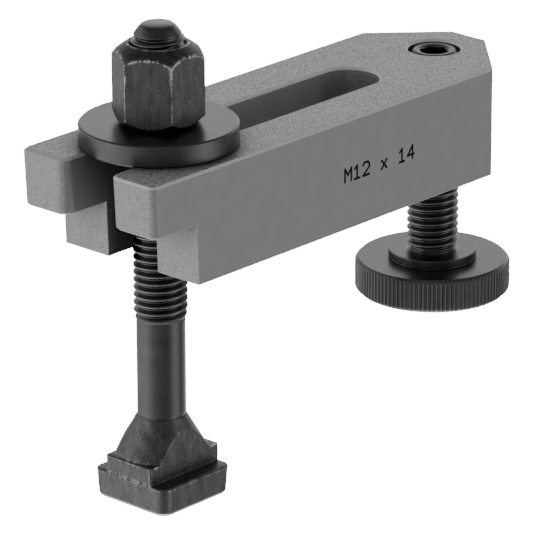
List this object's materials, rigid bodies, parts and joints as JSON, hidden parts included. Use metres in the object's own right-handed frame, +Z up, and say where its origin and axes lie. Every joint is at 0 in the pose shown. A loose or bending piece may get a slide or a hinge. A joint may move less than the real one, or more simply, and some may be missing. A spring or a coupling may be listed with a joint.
{
  "type": "fork strap clamp",
  "caption": "Stepped fork clamp arm held by a T-slot bolt, washer and tall hexagon nut, with an adjustable knurled-foot support screw.",
  "frame": {"origin": "centre of the T-slot bolt head's lower face", "axes": "+Z up the bolt towards the nut, +X along the arm from the noses to the support screw, +Y towards the left nose"},
  "size_m": [0.1319, 0.04, 0.1089],
  "materials": {
    "blasted_steel": "fine blasted grey",
    "black_forged_steel": "black oxide on a forged skin",
    "black_turned_steel": "black oxide on a turned skin"
  },
  "bodies": {
    "t_bolt": {"t_bolt": "black_forged_steel"},
    "washer": {"washer": "black_turned_steel"},
    "clamp_nut": {"clamp_nut": "black_forged_steel"},
    "clamp_arm": {"clamp_arm": "blasted_steel"},
    "support_screw": {"support_screw": "black_turned_steel"}
  },
  "joints": [
    {"name": "washer_lift", "type": "slide", "parent": "t_bolt", "child": "washer", "axis": [0, 0, 1], "range_m": [-0.036, 0.004]},
    {"name": "nut_turn", "type": "hinge", "parent": "washer", "child": "clamp_nut", "pos_m": [0, 0, 0.0869], "axis": [0, 0, 1], "range_deg": [-7406, 823]},
    {"name": "arm_slide", "type": "slide", "parent": "washer", "child": "clamp_arm", "axis": [1, 0, 0], "range_m": [-0.061, 0.015]},
    {"name": "support_height", "type": "slide", "parent": "clamp_arm", "child": "support_screw", "axis": [0, 0, 1], "range_m": [-0.013, 0.0225]}
  ],
  "couplings": [
    {"joint": "nut_turn", "follows": "washer_lift", "rad_per_m": 3590.4}
  ]
}
